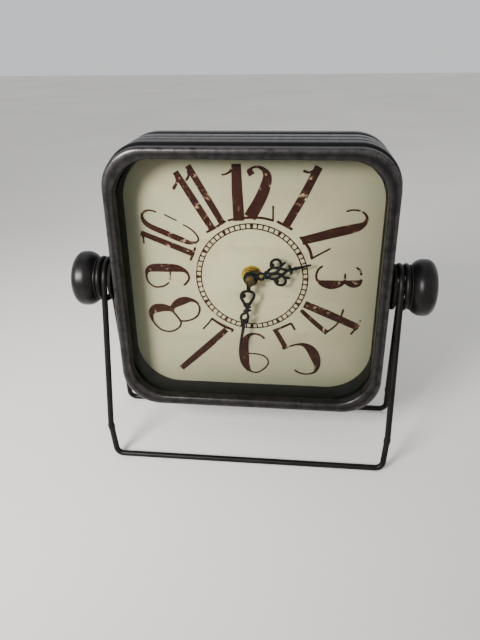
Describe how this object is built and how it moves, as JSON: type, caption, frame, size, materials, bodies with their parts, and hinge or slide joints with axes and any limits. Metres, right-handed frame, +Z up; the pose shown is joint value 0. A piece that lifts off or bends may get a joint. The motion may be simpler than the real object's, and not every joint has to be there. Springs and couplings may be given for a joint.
{
  "type": "tilting table clock",
  "caption": "Square ribbed-case table clock with a recessed dial, hung by clamp knobs in a bent-wire stand so that it tilts.",
  "frame": {"origin": "on the surface the stand rests on, under the middle of the overall box", "axes": "+X to the viewer's right along the tilt axis, +Y from the dial to the back, +Z up"},
  "size_m": [0.3088, 0.1056, 0.2751],
  "materials": {
    "wire_black": "dark gunmetal paint, satin",
    "case_steel": "dark gunmetal paint rubbed through on the edges",
    "knob_steel": "dark gunmetal paint, semi-gloss",
    "boss_black": "matt black paint",
    "stud_steel": "plain steel",
    "clear_glass": "clear float glass",
    "spacer_black": "black",
    "dial_paper": "aged printed paper on board",
    "back_board": "black board",
    "zinc_screw": "zinc plated",
    "brass": "polished",
    "rubber_black": "black",
    "hand_black": "black",
    "movement_plastic": "black moulding",
    "wheel_plastic": "natural acetal",
    "plain_steel": "plain",
    "copper": "enamelled copper wire",
    "board_green": "green laminate",
    "magnet_grey": "sintered magnet",
    "battery_sleeve": "plain dark sleeve"
  },
  "bodies": {
    "stand": {"front_foot_wire": "wire_black", "rear_foot_wire": "wire_black", "left_hairpin_wire": "wire_black", "right_hairpin_wire": "wire_black"},
    "case": {"case_band": "case_steel", "front_bezel": "case_steel", "glass_pane": "clear_glass", "dial_spacer": "spacer_black", "dial_plate": "dial_paper", "back_cover": "back_board", "back_screw_1": "zinc_screw", "back_screw_2": "zinc_screw", "back_screw_3": "zinc_screw", "back_screw_4": "zinc_screw", "left_stud": "stud_steel", "right_stud": "stud_steel", "left_boss": "boss_black", "right_boss": "boss_black", "threaded_bush": "brass", "brass_washer": "brass", "dial_nut": "brass", "rubber_washer": "rubber_black", "movement_tray": "movement_plastic", "movement_cover": "movement_plastic", "stator_plate": "plain_steel", "drive_coil": "copper", "circuit_board": "board_green", "quartz_crystal": "plain_steel", "positive_contact": "plain_steel", "negative_contact": "plain_steel"},
    "left_washer": {"left_clamp_washer": "wire_black"},
    "left_knob": {"left_clamp_knob": "knob_steel", "left_knob_insert": "brass"},
    "right_washer": {"right_clamp_washer": "wire_black"},
    "right_knob": {"right_clamp_knob": "knob_steel", "right_knob_insert": "brass"},
    "minute": {"minute_arbor": "brass", "minute_hand": "hand_black", "cap_nut": "brass"},
    "hour": {"hour_wheel": "wheel_plastic", "hour_hand": "hand_black"},
    "minute_wheel": {"minute_wheel": "wheel_plastic"},
    "setting_knob": {"setting_knob": "wheel_plastic"},
    "centre_wheel": {"centre_wheel": "wheel_plastic"},
    "third_wheel": {"third_wheel": "wheel_plastic"},
    "seconds_wheel": {"seconds_wheel": "wheel_plastic"},
    "intermediate_wheel": {"intermediate_wheel": "wheel_plastic"},
    "rotor": {"motor_rotor": "magnet_grey"},
    "battery": {"battery_cell": "battery_sleeve"}
  },
  "joints": [
    {"name": "case_tilt", "type": "hinge", "parent": "stand", "child": "case", "pos_m": [0, -0.00398, 0.1571], "axis": [1, 0, 0], "continuous": true},
    {"name": "left_washer_slide", "type": "slide", "parent": "case", "child": "left_washer", "axis": [-1, 0, 0], "range_m": [0, 0.0075]},
    {"name": "left_knob_turn", "type": "hinge", "parent": "left_washer", "child": "left_knob", "pos_m": [0, -0.00398, 0.1571], "axis": [-1, 0, 0], "range_deg": [0, 2160]},
    {"name": "right_washer_slide", "type": "slide", "parent": "case", "child": "right_washer", "axis": [1, 0, 0], "range_m": [0, 0.0075]},
    {"name": "right_knob_turn", "type": "hinge", "parent": "right_washer", "child": "right_knob", "pos_m": [0, -0.00398, 0.1571], "axis": [1, 0, 0], "range_deg": [0, 2160]},
    {"name": "minute_turn", "type": "hinge", "parent": "case", "child": "minute", "pos_m": [0, -0.00398, 0.1601], "axis": [0, 1, 0], "continuous": true},
    {"name": "hour_turn", "type": "hinge", "parent": "case", "child": "hour", "pos_m": [0, -0.00398, 0.1601], "axis": [0, 1, 0], "continuous": true},
    {"name": "minute_wheel_turn", "type": "hinge", "parent": "case", "child": "minute_wheel", "pos_m": [0, -0.00398, 0.1681], "axis": [0, 1, 0], "continuous": true},
    {"name": "setting_knob_turn", "type": "hinge", "parent": "case", "child": "setting_knob", "pos_m": [0, -0.00398, 0.1761], "axis": [0, 1, 0], "continuous": true},
    {"name": "rotor_turn", "type": "hinge", "parent": "case", "child": "rotor", "pos_m": [0.01739, -0.00398, 0.16589], "axis": [0, 1, 0], "continuous": true},
    {"name": "intermediate_wheel_turn", "type": "hinge", "parent": "case", "child": "intermediate_wheel", "pos_m": [0.0105, -0.00398, 0.1601], "axis": [0, 1, 0], "continuous": true},
    {"name": "seconds_wheel_turn", "type": "hinge", "parent": "case", "child": "seconds_wheel", "pos_m": [0, -0.00398, 0.1601], "axis": [0, 1, 0], "continuous": true},
    {"name": "third_wheel_turn", "type": "hinge", "parent": "case", "child": "third_wheel", "pos_m": [-0.0102, -0.00398, 0.1601], "axis": [0, 1, 0], "continuous": true},
    {"name": "centre_wheel_turn", "type": "hinge", "parent": "case", "child": "centre_wheel", "pos_m": [0, -0.00398, 0.1601], "axis": [0, 1, 0], "continuous": true},
    {"name": "battery_slide", "type": "slide", "parent": "case", "child": "battery", "axis": [0, 1, 0], "range_m": [0, 0.045]}
  ],
  "couplings": [
    {"joint": "left_washer_slide", "follows": "left_knob_turn", "m_per_rad": 0.00019894},
    {"joint": "right_washer_slide", "follows": "right_knob_turn", "m_per_rad": 0.00019894},
    {"joint": "hour_turn", "follows": "minute_turn", "ratio": 0.083333},
    {"joint": "minute_wheel_turn", "follows": "minute_turn", "ratio": -0.33333},
    {"joint": "setting_knob_turn", "follows": "minute_turn", "ratio": 1},
    {"joint": "intermediate_wheel_turn", "follows": "rotor_turn", "ratio": -0.2},
    {"joint": "seconds_wheel_turn", "follows": "rotor_turn", "ratio": 0.033333},
    {"joint": "third_wheel_turn", "follows": "rotor_turn", "ratio": -0.0044444},
    {"joint": "centre_wheel_turn", "follows": "rotor_turn", "ratio": 0.00055556}
  ]
}
